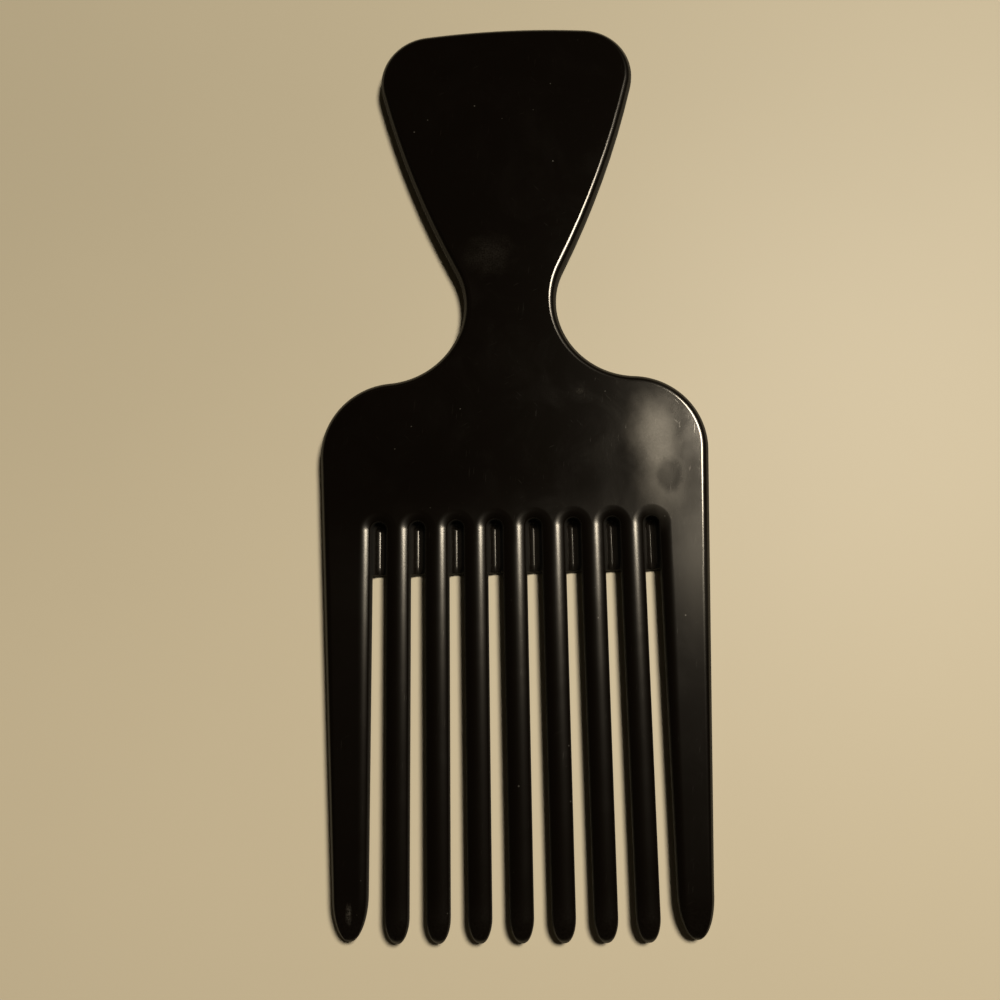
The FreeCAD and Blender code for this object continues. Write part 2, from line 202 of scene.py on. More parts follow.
class PickFinish(bpy.types.PropertyGroup):
    """Look of the plastic."""
    plastic: colour("Plastic", "Colour of the moulded plastic", (0.0018, 0.0011, 0.0006))
    # Also the colour of the painted sheen on the right shoulder and of the painted glow above the webs.
    scuff_and_sheen: colour("Scuff", "Colour of rubbed plastic and of dust", (0.16, 0.145, 0.12))
    sheen: colour("Sheen", "Tint of the plastic's reflections", (1.0, 0.95, 0.86))
    roughness: share("Roughness", "Roughness of the clean plate", 0.114)
    tooth_roughness: share("Tooth roughness", "Roughness of the teeth and webs, which hair has rubbed", 0.185)
    haze_roughness: share("Haze roughness", "Roughness of handled plastic", 0.29)
    side_roughness: share("Side roughness", "Added roughness of the side walls", 0.55)
    edge_roughness: share("Edge roughness", "Added roughness of the rounded edges", 0.09)
    smudge_size: length("Smudge size", "Size of the marks that handling leaves", 0.011)
    dust_spacing: length("Dust spacing", "Mean distance between specks of dust", 0.0030)
    grain_size: length("Grain size", "Size of the grain in the haze and the dust", 0.0003)
    scratch_spacing: length("Scratch spacing", "Mean distance between hairline scratches", 0.00022)
    scratch_length: length("Scratch length", "Usual length of a hairline scratch", 0.004)
    scratch_depth: length("Scratch depth", "Depth of the hairline scratches", 0.000001)
    ripple_size: length("Ripple size", "Size of the faint ripples of the moulded face", 0.0042)
    ripple_depth: length("Ripple depth", "Depth of the faint ripples", 0.000004)
    tip_wear: length("Tip wear", "How far from the tips the plastic is rubbed", 0.009)
    smudge_haze: share("Smudge haze", "Haze of the marks that handling leaves", 0.18)
    drop_clearing: share("Drop clearing", "Haze that the dried drop took away", 0.24)
    dust_paleness: share("Dust paleness", "How pale the specks of dust are", 0.12)
    painted_sheen_paleness: share("Film paleness", "How pale the hazy film is", 0.6)
    tip_paleness: share("Tip paleness", "How pale the rubbed tips are", 0.02)
    # Painted sheen: how pale the hazy film's patch on the right shoulder is painted.
    scratch_paleness: share("Scratch paleness", "How pale the scratches are", 0.012)
    # Painted glow: how pale the hollows above the webs are painted.
    hollow_glow_paleness: share("Hollow paleness", "How pale the dust above the webs is", 0.05)
    drop_paleness: share("Drop paleness", "How pale the dried drop is", 0.06)
    dust_roughness: share("Dust roughness", "Added roughness of the dust", 0.3)
    wear_roughness: share("Wear roughness", "Added roughness of scratches and rubbed tips", 0.06)


class PickStage(bpy.types.PropertyGroup):
    """Floor, lamp, backdrop and camera."""
    floor: colour("Floor", "Colour of the floor", (0.54, 0.478, 0.35))
    # Painted shade: the floor is painted this darker colour beyond the grip.
    floor_painted_shade: colour("Floor shade", "Colour of the floor beyond the grip", (0.431, 0.385, 0.281))
    floor_roughness: share("Floor roughness", "Roughness of the floor", 0.55)
    floor_mottle: share("Floor mottle", "How far the floor's shade wanders", 0.03)
    floor_size: length("Floor size", "Side of the square floor", 0.9)
    lamp_distance: length("Lamp distance", "From the pick to the lamp", 1.2)
    lamp_size: length("Lamp size", "Diameter of the lamp", 0.32)
    lamp_power: power("Lamp power", "Watts of the lamp", 17.4)
    lamp_colour: colour("Lamp colour", "Colour of the lamp's light", (1.0, 0.91, 0.76))
    lamp_tilt: angle("Lamp tilt", "Lean of the lamp from straight above", 26.6)
    lamp_turn: angle("Lamp turn", "Way the lamp leans, anticlockwise from the right", 40)
    zenith: colour("Zenith", "Light from straight above", (0.016, 0.013, 0.009))
    backdrop: colour("Backdrop", "Light from all round, seen beyond the floor", (0.30, 0.26, 0.18))
    camera_place: position("Camera place", "Where the camera stands", (0.00566, -0.04521, 0.17711))
    camera_turn: bpy.props.FloatVectorProperty(
        name="Camera turn", description="Turn of the camera about X, Y and Z", subtype="EULER",
        default=(math.radians(11.322), math.radians(2.866), math.radians(-0.940)))
    lens: bpy.props.FloatProperty(name="Lens", description="Focal length in millimetres", default=35.33,
                                  unit="CAMERA")


# Node trees

class Graph:
    """Short words for filling a node tree."""

    def __init__(self, tree):
        self.tree = tree

    def add(self, kind, inputs=None, **settings):
        node = self.tree.nodes.new(kind)
        for name, value in settings.items():
            setattr(node, name, value)
        for key, value in (inputs or {}).items():
            self.feed(node.inputs[key], value)
        return node

    def feed(self, socket, value):
        if isinstance(value, bpy.types.NodeSocket):
            self.tree.links.new(value, socket)
        else:
            socket.default_value = value

    def math(self, operation, first, second=0.0, clamp=False):
        node = self.add("ShaderNodeMath", {0: first, 1: second}, operation=operation, use_clamp=clamp)
        return node.outputs[0]

    def vector(self, operation, first, second):
        node = self.add("ShaderNodeVectorMath", {0: first, 1: second}, operation=operation)
        return node.outputs[0]

    def join(self, x, y, z):
        return self.add("ShaderNodeCombineXYZ", {"X": x, "Y": y, "Z": z}).outputs[0]

    def split(self, vector):
        return self.add("ShaderNodeSeparateXYZ", {"Vector": vector}).outputs

    def ramp(self, value, start, end, low=0.0, high=1.0, smooth=False):
        """A value's place between start and end, stretched to run from low to high."""
        node = self.add("ShaderNodeMapRange", {"Value": value, "From Min": start, "From Max": end,
                                               "To Min": low, "To Max": high})
        node.interpolation_type = "SMOOTHSTEP" if smooth else "LINEAR"
        return node.outputs["Result"]

    def mix_colour(self, factor, first, second):
        node = self.add("ShaderNodeMix", data_type="RGBA")
        self.feed(node.inputs["Factor"], factor)
        self.feed(node.inputs[FIRST_COLOUR], first)
        self.feed(node.inputs[SECOND_COLOUR], second)
        return node.outputs[MIXED_COLOUR]

    def noise(self, vector, scale, detail, **more):
        """A cloudy value from 0 to 1."""
        inputs = {"Vector": vector, "Scale": scale, "Detail": detail, **more}
        return self.add("ShaderNodeTexNoise", inputs).outputs["Fac"]

    def group(self, tree, **values):
        """The mask that a node group makes."""
        return self.add("ShaderNodeGroup", values, node_tree=tree).outputs["Mask"]

    def row_of_copies(self, given, shape, result):
        """Ends a geometry tree: real copies of a shape along the pitch, in their material."""
        row = self.add("GeometryNodeMeshLine", {
            "Count": given["Count"], "Start Location": self.join(given["First"], 0.0, 0.0),
            "Offset": self.join(given["Pitch"], 0.0, 0.0)}).outputs[0]
        copies = self.add("GeometryNodeInstanceOnPoints", {"Points": row, "Instance": shape}).outputs[0]
        real = self.add("GeometryNodeRealizeInstances", {"Geometry": copies}).outputs[0]
        painted = self.add("GeometryNodeSetMaterial", {"Geometry": real, "Material": given["Material"]})
        self.feed(result, painted.outputs[0])


def new_tree(name, kind, inputs, outputs):
    """A node group with its sockets: its graph, its inputs' sockets and its output node."""
    tree = bpy.data.node_groups.new(name, kind)
    for direction, sockets in (("INPUT", inputs), ("OUTPUT", outputs)):
        for label, socket_type in sockets:
            tree.interface.new_socket(name=label, in_out=direction, socket_type=socket_type)
    graph = Graph(tree)
    return graph, graph.add("NodeGroupInput").outputs, graph.add("NodeGroupOutput").inputs


FLOAT, VECTOR, GEOMETRY = "NodeSocketFloat", "NodeSocketVector", "NodeSocketGeometry"
INTEGER, OBJECT, MATERIAL = "NodeSocketInt", "NodeSocketObject", "NodeSocketMaterial"


# Plastic

def hairline_group():
    """Long thin scratches that run one way and come and go in patches."""
    graph, given, result = new_tree(
        "Hairline scratches", "ShaderNodeTree",
        [("Vector", VECTOR), ("Turn", FLOAT), ("Spacing", FLOAT), ("Length", FLOAT), ("Threshold", FLOAT)],
        [("Mask", FLOAT)])
    turned = graph.add("ShaderNodeVectorRotate", {"Vector": given["Vector"], "Angle": given["Turn"]},
                       rotation_type="Z_AXIS").outputs[0]
    fine = graph.math("DIVIDE", 1.0, given["Spacing"])
    coarse = graph.math("DIVIDE", 1.0, given["Length"])
    stretched = graph.vector("MULTIPLY", turned, graph.join(fine, coarse, fine))
    lines = graph.noise(stretched, 1.0, 2.0, Distortion=0.15)
    patches = graph.noise(turned, coarse, 2.0)
    edge = graph.math("ADD", given["Threshold"], 0.06)
    mask = graph.ramp(lines, given["Threshold"], edge)
    graph.feed(result["Mask"], graph.math("MULTIPLY", mask, graph.ramp(patches, 0.42, 0.62, smooth=True)))
    return graph.tree


def smudge_group():
    """Cloudy marks that handling leaves, with streaks in them."""
    graph, given, result = new_tree("Handling smudges", "ShaderNodeTree",
                                    [("Vector", VECTOR), ("Size", FLOAT)], [("Mask", FLOAT)])
    scale = graph.math("DIVIDE", 1.0, given["Size"])
    clouds = graph.noise(given["Vector"], scale, 5.0, Roughness=0.6, Distortion=0.8)
    streaked = graph.vector("MULTIPLY", given["Vector"], (3.0, 0.7, 3.0))
    streaks = graph.noise(streaked, scale, 4.0, Roughness=0.65)
    both = graph.math("MULTIPLY", graph.ramp(clouds, 0.42, 0.68, smooth=True),
                      graph.ramp(streaks, 0.35, 0.65, 0.45, 1.0))
    graph.feed(result["Mask"], both)
    return graph.tree


def dust_group():
    """Specks of dust of several sizes, and bare stretches between them."""
    graph, given, result = new_tree("Dust specks", "ShaderNodeTree",
                                    [("Vector", VECTOR), ("Spacing", FLOAT)], [("Mask", FLOAT)])
    scale = graph.math("DIVIDE", 1.0, given["Spacing"])
    cells = graph.add("ShaderNodeTexVoronoi", {"Vector": given["Vector"], "Scale": scale})
    chance = graph.split(cells.outputs["Color"])
    size = graph.ramp(chance[X], 0.35, 1.0, 0.0, 0.075)
    inner = graph.math("MULTIPLY", size, 0.4)
    speck = graph.ramp(cells.outputs["Distance"], inner, size, 1.0, 0.0, smooth=True)
    graph.feed(result["Mask"], graph.math("MULTIPLY", speck, graph.math("MULTIPLY", size, 12.0)))
    return graph.tree


def mark_group():
    """One soft mark with a frayed rim, full at its place and gone beyond its reach."""
    graph, given, result = new_tree(
        "Soft mark", "ShaderNodeTree",
        [("Vector", VECTOR), ("Place", VECTOR), ("Reach", VECTOR), ("Softness", FLOAT), ("Fray", FLOAT)],
        [("Mask", FLOAT)])
    away = graph.vector("DIVIDE", graph.vector("SUBTRACT", given["Vector"], given["Place"]), given["Reach"])
    distance = graph.add("ShaderNodeVectorMath", {0: away}, operation="LENGTH").outputs["Value"]
    uneven = graph.math("SUBTRACT", graph.noise(away, 2.2, 4.0), 0.5)
    frayed = graph.math("ADD", distance, graph.math("MULTIPLY", uneven, given["Fray"]))
    full = graph.math("SUBTRACT", 1.0, given["Softness"])
    graph.feed(result["Mask"], graph.ramp(frayed, 1.0, full, smooth=True))
    return graph.tree


def plastic_material(finish, sizes):
    """Black moulded plastic: faint ripples, hairline scratches, smudges, haze, dust and rubbed tips; a
    painted sheen on the right shoulder and a painted glow above the webs.
    """
    material = bpy.data.materials.new("black_moulded_plastic")
    material.use_nodes = True
    graph = Graph(material.node_tree)
    shader = material.node_tree.nodes["Principled BSDF"]
    place = graph.add("ShaderNodeTexCoord").outputs["Object"]
    across, level, depth = graph.split(place)
    arch_top = ROOT_LEVEL + sizes.web_length
    hairlines, soft_mark = hairline_group(), mark_group()

    def times(first, second):
        return graph.math("MULTIPLY", first, second)

    def marks(table):
        """A table's marks, added up."""
        total = None
        for (x, y), (wide, tall), softness, fray, strength in table:
            mask = graph.group(soft_mark, Vector=place, Place=(x, y, THICKNESS),
                               Reach=(wide, tall, THICKNESS), Softness=softness, Fray=fray)
            mask = times(mask, strength)
            total = mask if total is None else graph.math("ADD", total, mask)
        return total

    scratches = None
    for turn, threshold in HAIRLINES:
        mask = graph.group(hairlines, Vector=place, Turn=turn, Spacing=finish.scratch_spacing,
                           Length=finish.scratch_length, Threshold=threshold)
        scratches = mask if scratches is None else graph.math("MAXIMUM", scratches, mask)
    smudge = graph.group(smudge_group(), Vector=place, Size=finish.smudge_size)
    dust = graph.group(dust_group(), Vector=place, Spacing=finish.dust_spacing)
    grain = graph.ramp(graph.noise(place, 1 / finish.grain_size, 3.0, Roughness=0.7), *GRAIN_NOISE)

    # A hazy film lies on the right shoulder, and a dried drop has cleared part of it. The film makes the
    # plastic rougher there, and its paleness in the colour is a painted sheen.
    drop = marks(DROP)
    film_and_sheen = graph.math("SUBTRACT", marks(HAZE_AND_SHEEN), times(drop, finish.drop_clearing), clamp=True)
    haze = graph.math("MAXIMUM", film_and_sheen, times(smudge, finish.smudge_haze))
    haze = times(haze, graph.ramp(grain, 0.0, 1.0, *GRAIN_IN_HAZE))

    # The hollows above the webs are painted paler, a painted glow, and the tips are lightly rubbed.
    start, full = (THICKNESS * part for part in HOLLOW_DEPTH)
    hollow = times(graph.ramp(depth, start, full, smooth=True),
                   graph.ramp(level, ROOT_LEVEL - sizes.web_end_round, ROOT_LEVEL, smooth=True))
    below_arch = graph.ramp(level, arch_top, arch_top - sizes.slot_round)
    inside = graph.ramp(graph.math("ABSOLUTE", across), GUARD_INSIDE, GUARD_INSIDE - sizes.slot_round)
    hollow = times(hollow, times(inside, below_arch))
    rubbed = times(graph.ramp(level, TIP_LEVEL + finish.tip_wear, TIP_LEVEL, smooth=True), grain)

    # Paleness in the colour: dust, scuffs, scratches, rubbed tips and the drop, with the film's painted sheen
    # and the hollows' painted glow.
    pale = times(marks(SCUFFS), grain)
    for mask, paleness in ((dust, finish.dust_paleness), (film_and_sheen, finish.painted_sheen_paleness),
                           (rubbed, finish.tip_paleness), (scratches, finish.scratch_paleness),
                           (times(hollow, grain), finish.hollow_glow_paleness),
                           (times(drop, grain), finish.drop_paleness)):
        pale = graph.math("MAXIMUM", pale, times(mask, paleness))
    graph.feed(shader.inputs["Base Color"],
               graph.mix_colour(pale, (*finish.plastic, 1), (*finish.scuff_and_sheen, 1)))

    # The plate is smoother than the teeth. Its edges are duller, and its side walls duller still.
    above_roots = graph.ramp(level, ROOT_LEVEL, ROOT_LEVEL + 2 * sizes.web_length, smooth=True)
    clean = graph.ramp(above_roots, 0.0, 1.0, finish.tooth_roughness, finish.roughness)
    rough = graph.ramp(haze, 0.0, 1.0, clean, finish.haze_roughness)
    normal = graph.split(graph.add("ShaderNodeNewGeometry").outputs["Normal"])
    upright = graph.math("ABSOLUTE", normal[Z])
    side = graph.ramp(upright, *SIDE_UPRIGHT, smooth=True)
    edge = times(graph.ramp(upright, *EDGE_UPRIGHT), above_roots)
    for mask, amount in ((scratches, finish.wear_roughness), (rubbed, finish.wear_roughness),
                         (dust, finish.dust_roughness), (side, finish.side_roughness),
                         (edge, finish.edge_roughness)):
        rough = graph.math("ADD", rough, times(mask, amount))
    graph.feed(shader.inputs["Roughness"], rough)
    shader.inputs["Specular Tint"].default_value = (*finish.sheen, 1)

    ripple = graph.noise(place, 1 / finish.ripple_size, 2.0, Roughness=0.4)
    height = graph.math("SUBTRACT", times(ripple, finish.ripple_depth),
                        times(scratches, finish.scratch_depth))
    bump = graph.add("ShaderNodeBump", {"Height": height, "Strength": 1.0, "Distance": 1.0})
    graph.feed(shader.inputs["Normal"], bump.outputs[0])
    return material


def plastic(context):
    """The plastic, made once and shared by every piece."""
    found = bpy.data.materials.get("black_moulded_plastic")
    return found or plastic_material(context.scene.pick_finish, context.scene.pick_sizes)


# Meshes

class Surface:
    """Vertices with their own normals, joined by faces that are smooth or flat."""

    def __init__(self):
        self.points, self.normals, self.faces, self.flat = [], [], [], []

    def add(self, point, normal):
        self.points.append(point)
        self.normals.append(Vector(normal).normalized())
        return len(self.points) - 1

    def face(self, corners, flat=False):
        self.faces.append(corners)
        self.flat.append(flat)

    def mesh(self, name):
        mesh = bpy.data.meshes.new(name)
        mesh.from_pydata(self.points, [], self.faces)
        mesh.shade_smooth()
        normals = []
        for polygon, flat in zip(mesh.polygons, self.flat):
            normals += [polygon.normal.copy() if flat else self.normals[v] for v in polygon.vertices]
        mesh.normals_split_custom_set(normals)
        return mesh


def finish_piece(context, name, mesh, nodes):
    """Puts a mesh in the scene as a piece that stands for nodes of the frame."""
    mesh.name = name
    if not mesh.materials:
        mesh.materials.append(plastic(context))
    piece = bpy.data.objects.new(name, mesh)
    context.scene.collection.objects.link(piece)
    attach(piece, BODY)
    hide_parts(*nodes)
    return piece


def edge_profile(sizes):
    """Half the outline's edge, from the middle plane to a face: inset, height and the normal's two parts."""
    radius, skin = sizes.edge_round, sizes.skin_inset
    wall, side = sizes.thickness / 2 - radius, skin + sizes.parting_ridge
    rows = [(skin, 0.0, 1.0, 0.0), (side, wall / 3, 1.0, 0.0), (side, wall, 1.0, 0.0)]
    for step in range(1, ROUND_STEPS + 1):
        lift = math.pi / 2 * step / ROUND_STEPS
        out, up = math.cos(lift), math.sin(lift)
        rows.append((side + radius * (1 - out), wall + radius * up, out, up))
    return rows


def crown_profile(sizes):
    """Half a gap's edge: its wall, a small round and the dome that runs up to the middle of a tooth."""
    radius, crown, half = sizes.slot_round, sizes.tooth_crown, sizes.tooth_width / 2
    side, base = sizes.parting_ridge, sizes.thickness / 2 - sizes.tooth_crown
    inside = side + radius
    wall = base + math.sqrt((crown - radius) ** 2 - (half - inside) ** 2)
    turn = math.atan2(wall - base, half - inside)
    rows = [(0.0, 0.0, 1.0, 0.0), (side, wall / 3, 1.0, 0.0), (side, wall, 1.0, 0.0)]
    for step in range(1, ROUND_STEPS + 1):
        lift = turn * step / ROUND_STEPS
        out, up = math.cos(lift), math.sin(lift)
        rows.append((inside - radius * out, wall + radius * up, out, up))
    for step in range(1, CROWN_STEPS + 1):
        lift = turn + (math.pi / 2 - turn) * CROWN_REACH * step / CROWN_STEPS
        out, up = math.cos(lift), math.sin(lift)
        rows.append((half - crown * out, base + crown * up, out, up))
    return rows


def full_profile(front, back):
    """An edge from the back face round to the front face."""
    return [(inset, -height, out, -up) for inset, height, out, up in reversed(back[1:])] + front


def outline_profile(sizes):
    return full_profile(edge_profile(sizes), edge_profile(sizes))


def gap_profile(sizes):
    return full_profile(crown_profile(sizes), edge_profile(sizes))


def arc_path(centre, radius, start, end, hollow=False):
    """Points along an arc with their outward directions. A hollow arc's outside is at its centre."""
    steps = max(LEAST_ARC_STEPS, math.ceil(abs(end - start) / ARC_STEP))
    sign = -1 if hollow else 1
    path = []
    for step in range(steps + 1):
        turn = start + (end - start) * step / steps
        across, along = math.cos(turn), math.sin(turn)
        path.append((centre[X] + radius * across, centre[Y] + radius * along, sign * across, sign * along))
    return path


def bearing(start, end):
    """Way from one point to another, anticlockwise from the right."""
    return math.atan2(end[Y] - start[Y], end[X] - start[X])


def right_side(sizes):
    """The plate's outline from the right guard tooth's root up to the middle of the top."""
    outside = GUARD_INSIDE + sizes.guard_width
    end_inside = GUARD_INSIDE + (sizes.tooth_width - sizes.tooth_end_width) / 2
    end_level = GUARD_TIP_LEVEL + sizes.guard_tip
    slope = (outside - end_inside - sizes.guard_end_width) / (ROOT_LEVEL - end_level)
    lean = math.hypot(1, slope)

    crown = Vector((0, TOP_LEVEL - sizes.grip_crown))
    corner_x = sizes.grip_width / 2 - sizes.grip_corner
    reach = sizes.grip_crown - sizes.grip_corner
    corner = Vector((corner_x, crown.y + math.sqrt(reach ** 2 - corner_x ** 2)))
    neck = Vector((sizes.neck_width / 2 + sizes.neck_radius, TOP_LEVEL - sizes.grip_length))

    # The long side is tangent to the corner inside it and to the waist outside it.
    apart = corner - neck
    from_neck, from_corner = sizes.grip_side + sizes.neck_radius, sizes.grip_side - sizes.grip_corner
    along = (from_neck ** 2 - from_corner ** 2 + apart.length_squared) / (2 * apart.length)
    across = math.sqrt(from_neck ** 2 - along ** 2)
    unit = apart.normalized()
    side = neck + along * unit + across * Vector((-unit.y, unit.x))

    # The shoulder is tangent to the leaning edge inside it and to the waist outside it.
    shift = outside - slope * ROOT_LEVEL - sizes.shoulder * lean - neck.x
    linear = shift * slope - neck.y
    constant = shift ** 2 + neck.y ** 2 - (sizes.shoulder + sizes.neck_radius) ** 2
    shoulder_y = (-linear - math.sqrt(linear ** 2 - lean ** 2 * constant)) / lean ** 2
    shoulder = Vector((neck.x + shift + slope * shoulder_y, shoulder_y))

    path = [(outside, ROOT_LEVEL, 1.0, 0.0)]
    path += arc_path(shoulder, sizes.shoulder, -math.atan(slope), bearing(shoulder, neck))
    path += arc_path(neck, sizes.neck_radius, bearing(neck, shoulder) + 2 * math.pi, bearing(neck, side),
                     hollow=True)[1:]
    path += arc_path(side, sizes.grip_side, bearing(side, neck), bearing(side, corner))[1:]
    path += arc_path(corner, sizes.grip_corner, bearing(side, corner), bearing(crown, corner))[1:]
    path += arc_path(crown, sizes.grip_crown, bearing(crown, corner), math.pi / 2)[1:]
    return path


def gap_path(sizes, middle):
    """The way up one side of a gap, over its arch and down the other side."""
    half = (PITCH - sizes.tooth_width) / 2
    arch = ROOT_LEVEL + sizes.web_length - half
    rise = [ROOT_LEVEL + (arch - ROOT_LEVEL) * step / LEG_STEPS for step in range(LEG_STEPS)]
    path = [(middle - half, level, 1.0, 0.0) for level in rise]
    path += arc_path((middle, arch), half, math.pi, 0.0, hollow=True)
    path += [(middle + half, level, -1.0, 0.0) for level in reversed(rise)]
    return path


def gap_middles():
    """Where the gaps lie across the pick, from left to right."""
    count = len(WEBS)
    return [(number - (count - 1) / 2) * PITCH for number in range(count)]


def rounded_strip(surface, path, profile):
    """Sweeps the rounded edge along a path that keeps the plate on its left. Gives its columns."""
    columns = []
    for x, y, out_x, out_y in path:
        columns.append([
            surface.add((x - inset * out_x, y - inset * out_y, MIDDLE_HEIGHT + height),
                        (out * out_x, out * out_y, up))
            for inset, height, out, up in profile])
    ridge = [height for _, height, _, _ in profile].index(0.0)
    for here, there in zip(columns, columns[1:]):
        for row in range(len(profile) - 1):
            surface.face((here[row], there[row], there[row + 1], here[row + 1]), row in (ridge - 1, ridge))
    return columns


def plate_mesh(sizes):
    """Grip, neck and head in one skin, with an arch over each gap and a flat foot at each root."""
    surface = Surface()
    right = right_side(sizes)
    left = [(-x, y, -out_x, out_y) for x, y, out_x, out_y in reversed(right[:-1])]
    strips = [rounded_strip(surface, right + left, outline_profile(sizes))]
    for middle in gap_middles():
        strips.append(rounded_strip(surface, gap_path(sizes, middle), gap_profile(sizes)))
    for before, after in zip(strips, strips[1:] + strips[:1]):
        surface.face(after[0] + before[-1][::-1], flat=True)
    columns = [column for strip in strips for column in strip]
    surface.face([column[-1] for column in columns], flat=True)
    surface.face([column[0] for column in reversed(columns)], flat=True)
    return surface.mesh("pick_plate")


# Teeth

def section_curve(width, left_profile, right_profile):
    """A closed curve round a tooth's root section, seen along the tooth."""
    half = width / 2
    right = [(half - inset, height) for inset, height, _, _ in right_profile]
    left = [(inset - half, height) for inset, height, _, _ in reversed(left_profile)]
    curve = bpy.data.curves.new("tooth_section", "CURVE")
    spline = curve.splines.new("POLY")
    points = []
    for run, following in ((right, left), (left, right)):
        # Points just inside a flat's ends keep its shading flat.
        points += run
        (x, y), (end, _) = run[-1], following[0]
        if abs(end - x) > 4 * FLAT_MARGIN:
            step = math.copysign(FLAT_MARGIN, end - x)
            points += [(x + step, y), (end - step, y)]
    spline.points.add(len(points) - 1)
    # The sweep turns its section half round.
    for point, (x, y) in zip(spline.points, points):
        point.co = (-x, -y, 0, 1)
    spline.use_cyclic_u = True
    return bpy.data.objects.new("tooth_section", curve)


def tooth_tree():
    """Sweeps a section from root to tip, closes and tapers it, and sets copies side by side."""
    graph, given, result = new_tree(
        "Comb teeth", "GeometryNodeTree",
        [("Geometry", GEOMETRY), ("Section", OBJECT), ("Count", INTEGER), ("First", FLOAT), ("Pitch", FLOAT),
         ("Root Level", FLOAT), ("Tip Level", FLOAT), ("Tip Length", FLOAT), ("Fullness", FLOAT),
         ("Height", FLOAT), ("End Width", FLOAT), ("End Thickness", FLOAT), ("End Shift", FLOAT),
         ("Rings", INTEGER), ("Material", MATERIAL)],
        [("Geometry", GEOMETRY)])
    reach = graph.math("SUBTRACT", given["Root Level"], given["Tip Level"])

    # Rings crowd together towards the tip.
    line = graph.add("GeometryNodeCurvePrimitiveLine", {"Start": (0, 0, 0), "End": (0, -1, 0)}).outputs[0]
    spine = graph.add("GeometryNodeResampleCurve", {"Curve": line, "Count": given["Rings"]}).outputs[0]
    factor = graph.add("GeometryNodeSplineParameter").outputs["Factor"]
    left_over = graph.math("POWER", graph.math("SUBTRACT", 1.0, factor), 2.0)
    level = graph.math("MULTIPLY_ADD", left_over, reach)
    graph.feed(level.node.inputs[2], given["Tip Level"])
    spine = graph.add("GeometryNodeSetPosition", {"Geometry": spine, "Position": graph.join(0.0, level, 0.0)})

    # The section shrinks as (1 - place squared) to the power of the fullness.
    place_y = graph.split(graph.add("GeometryNodeInputPosition").outputs[0])[Y]
    from_tip = graph.math("DIVIDE", graph.math("SUBTRACT", place_y, given["Tip Level"]), given["Tip Length"])
    place = graph.math("SUBTRACT", 1.0, from_tip, clamp=True)
    room = graph.math("SUBTRACT", 1.0, graph.math("MULTIPLY", place, place))
    scale = graph.math("POWER", graph.math("MAXIMUM", room, LEAST_ROOM), given["Fullness"])
    section = graph.add("GeometryNodeObjectInfo", {"Object": given["Section"]}).outputs["Geometry"]
    sweep = graph.add("GeometryNodeCurveToMesh", {
        "Curve": spine.outputs[0], "Profile Curve": section, "Scale": scale, "Fill Caps": True}).outputs[0]

    # The taper runs from the root to where the tip begins, and the thickness eases into it.
    spot = graph.split(graph.add("GeometryNodeInputPosition").outputs[0])
    run = graph.math("SUBTRACT", reach, given["Tip Length"])
    down = graph.math("DIVIDE", graph.math("SUBTRACT", given["Root Level"], spot[Y]), run, clamp=True)
    wide = graph.ramp(down, 0.0, 1.0, 1.0, given["End Width"])
    eased = graph.math("MULTIPLY", graph.math("MULTIPLY", down, down), graph.math("SUBTRACT", 2.0, down))
    thick = graph.ramp(eased, 0.0, 1.0, 1.0, given["End Thickness"])
    across = graph.math("ADD", graph.math("MULTIPLY", spot[X], wide),
                        graph.math("MULTIPLY", down, given["End Shift"]))
    up = graph.math("ADD", graph.math("MULTIPLY", spot[Z], thick), given["Height"])
    shaped = graph.add("GeometryNodeSetPosition",
                       {"Geometry": sweep, "Position": graph.join(across, spot[Y], up)}).outputs[0]

    graph.row_of_copies(given, shaped, result["Geometry"])
    return graph.tree


def run_tree(context, tree, mesh, values):
    """The plain mesh that a geometry tree makes from a mesh."""
    maker = bpy.data.objects.new(tree.name, mesh)
    context.scene.collection.objects.link(maker)
    modifier = maker.modifiers.new(tree.name, "NODES")
    modifier.node_group = tree
    sockets = {item.name: item.identifier for item in tree.interface.items_tree if item.in_out == "INPUT"}
    for name, value in values.items():
        modifier[sockets[name]] = value
    context.view_layer.update()
    made = bpy.data.meshes.new_from_object(maker.evaluated_get(context.evaluated_depsgraph_get()))
    maker.modifiers.remove(modifier)
    bpy.data.objects.remove(maker)
    if not made.polygons:
        raise RuntimeError(tree.name + " made no faces")
    made.shade_smooth()
    made.set_sharp_from_angle(angle=SHARP_ANGLE)
    return made


def tooth_meshes(context, section, values):
    """Runs the tooth tree on a root section."""
    sizes = context.scene.pick_sizes
    context.scene.collection.objects.link(section)
    tree = bpy.data.node_groups.get("Comb teeth") or tooth_tree()
    common = {"Section": section, "Pitch": PITCH, "Root Level": ROOT_LEVEL, "Height": MIDDLE_HEIGHT,
              "End Thickness": sizes.end_thickness / sizes.thickness, "Rings": TOOTH_RINGS,
              "Material": plastic(context)}
    mesh = run_tree(context, tree, bpy.data.meshes.new("tooth_seed"), {**common, **values})
    bpy.data.objects.remove(section)
    return mesh


# Webs

def web_floor(sizes):
    """Half a web's floor, hollow from the crease to the wall: distances from the middle, and heights."""
    tilt, crease = sizes.web_tilt, sizes.web_crease
    wall = (PITCH - sizes.tooth_width) / 2 + sizes.parting_ridge
    hollow = wall / (1 - math.sin(tilt))
    rows = []
    for step in range(WEB_STEPS + 1):
        slope = tilt + (math.pi / 2 - tilt) * (step / WEB_STEPS) ** WEB_CROWDING
        rows.append((wall - hollow * (1 - math.sin(slope)),
                     crease + hollow * (math.cos(tilt) - math.cos(slope))))
    rows[0] = (0.0, crease)
    return rows


